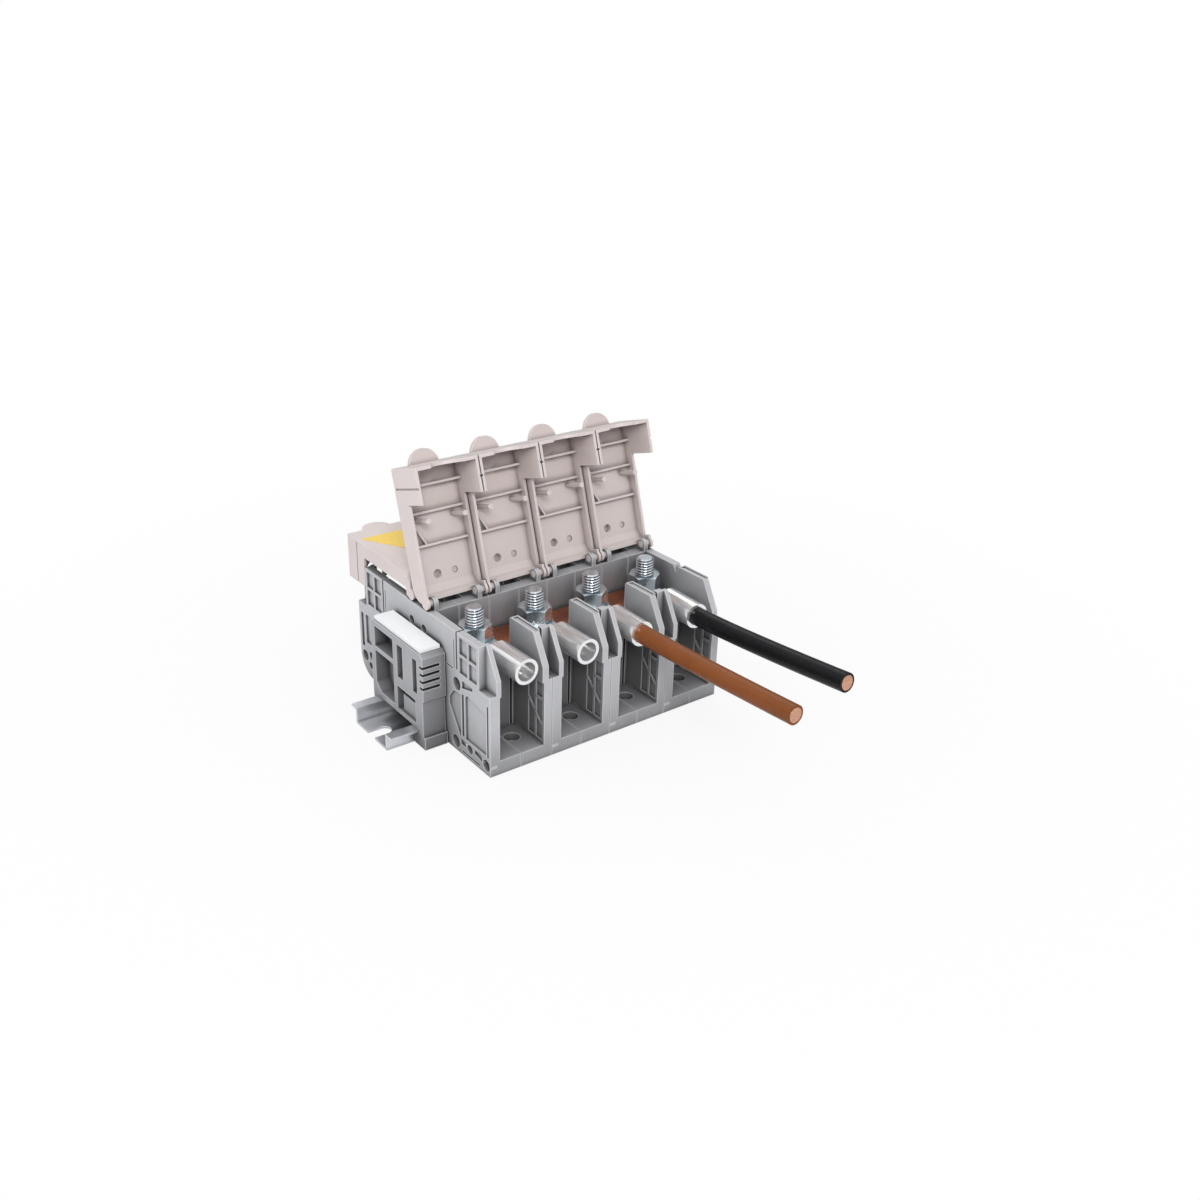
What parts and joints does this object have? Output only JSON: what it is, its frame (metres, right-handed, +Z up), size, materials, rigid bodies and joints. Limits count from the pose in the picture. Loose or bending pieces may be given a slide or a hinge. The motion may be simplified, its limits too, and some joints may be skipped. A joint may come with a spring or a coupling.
{
  "type": "din rail terminal block",
  "caption": "Row of stud terminal blocks on a slotted top-hat rail, with hinged covers, lugs and a cross bar.",
  "frame": {"origin": "underside of the rail, on its centre line and midway along the four blocks", "axes": "+X along the rail towards the last block, -Y towards the open wire side, +Z up from the panel"},
  "size_m": [0.1502, 0.2111, 0.1152],
  "materials": {
    "rail_steel": "galvanised",
    "shell_plastic": "satin moulded",
    "cover_plastic": "satin moulded",
    "strip_plastic": "smooth",
    "label_film": "printed film, plain",
    "zinc_steel": "zinc plated",
    "tinned_copper": "bright tin",
    "bar_copper": "drawn copper",
    "core_copper": "cut copper",
    "insulation_brown": "satin",
    "insulation_black": "satin"
  },
  "bodies": {
    "root": {"mounting_rail": "rail_steel", "end_bracket": "shell_plastic", "marker_strip": "strip_plastic", "shell_left_1": "shell_plastic", "shell_right_1": "shell_plastic", "shell_left_2": "shell_plastic", "shell_right_2": "shell_plastic", "shell_left_3": "shell_plastic", "shell_right_3": "shell_plastic", "shell_left_4": "shell_plastic", "shell_right_4": "shell_plastic", "conductor_bar_1": "bar_copper", "conductor_bar_2": "bar_copper", "conductor_bar_3": "bar_copper", "conductor_bar_4": "bar_copper", "cross_connection_bar": "bar_copper", "stud_front_1": "zinc_steel", "nut_front_1": "zinc_steel", "stud_rear_1": "zinc_steel", "nut_rear_1": "zinc_steel", "stud_front_2": "zinc_steel", "nut_front_2": "zinc_steel", "stud_rear_2": "zinc_steel", "nut_rear_2": "zinc_steel", "stud_front_3": "zinc_steel", "nut_front_3": "zinc_steel", "stud_rear_3": "zinc_steel", "nut_rear_3": "zinc_steel", "stud_front_4": "zinc_steel", "nut_front_4": "zinc_steel", "stud_rear_4": "zinc_steel", "nut_rear_4": "zinc_steel", "washers": "zinc_steel", "cable_lug_1": "tinned_copper", "cable_lug_2": "tinned_copper", "cable_lug_3": "tinned_copper", "cable_lug_4": "tinned_copper", "cable_brown_insulation": "insulation_brown", "cable_brown_core": "core_copper", "cable_black_insulation": "insulation_black", "cable_black_core": "core_copper"},
    "cover_front_1_swing": {"cover_front_1": "cover_plastic", "label_front_1": "label_film"},
    "cover_rear_1_swing": {"cover_rear_1": "cover_plastic", "label_rear_1": "label_film"},
    "cover_front_2_swing": {"cover_front_2": "cover_plastic", "label_front_2": "label_film"},
    "cover_rear_2_swing": {"cover_rear_2": "cover_plastic", "label_rear_2": "label_film"},
    "cover_front_3_swing": {"cover_front_3": "cover_plastic", "label_front_3": "label_film"},
    "cover_rear_3_swing": {"cover_rear_3": "cover_plastic", "label_rear_3": "label_film"},
    "cover_front_4_swing": {"cover_front_4": "cover_plastic", "label_front_4": "label_film"},
    "cover_rear_4_swing": {"cover_rear_4": "cover_plastic", "label_rear_4": "label_film"}
  },
  "joints": [
    {"name": "front_cover_1_hinge", "type": "hinge", "parent": "root", "child": "cover_front_1_swing", "pos_m": [0, -0.006, 0.0574], "axis": [1, 0, 0], "range_deg": [0, 107]},
    {"name": "rear_cover_1_hinge", "type": "hinge", "parent": "root", "child": "cover_rear_1_swing", "pos_m": [0, 0.006, 0.0574], "axis": [1, 0, 0], "range_deg": [0, 25]},
    {"name": "front_cover_2_hinge", "type": "hinge", "parent": "root", "child": "cover_front_2_swing", "pos_m": [0, -0.006, 0.0574], "axis": [1, 0, 0], "range_deg": [0, 107]},
    {"name": "rear_cover_2_hinge", "type": "hinge", "parent": "root", "child": "cover_rear_2_swing", "pos_m": [0, 0.006, 0.0574], "axis": [1, 0, 0], "range_deg": [0, 25]},
    {"name": "front_cover_3_hinge", "type": "hinge", "parent": "root", "child": "cover_front_3_swing", "pos_m": [0, -0.006, 0.0574], "axis": [1, 0, 0], "range_deg": [0, 107]},
    {"name": "rear_cover_3_hinge", "type": "hinge", "parent": "root", "child": "cover_rear_3_swing", "pos_m": [0, 0.006, 0.0574], "axis": [1, 0, 0], "range_deg": [0, 25]},
    {"name": "front_cover_4_hinge", "type": "hinge", "parent": "root", "child": "cover_front_4_swing", "pos_m": [0, -0.006, 0.0574], "axis": [1, 0, 0], "range_deg": [0, 107]},
    {"name": "rear_cover_4_hinge", "type": "hinge", "parent": "root", "child": "cover_rear_4_swing", "pos_m": [0, 0.006, 0.0574], "axis": [1, 0, 0], "range_deg": [0, 25]}
  ]
}
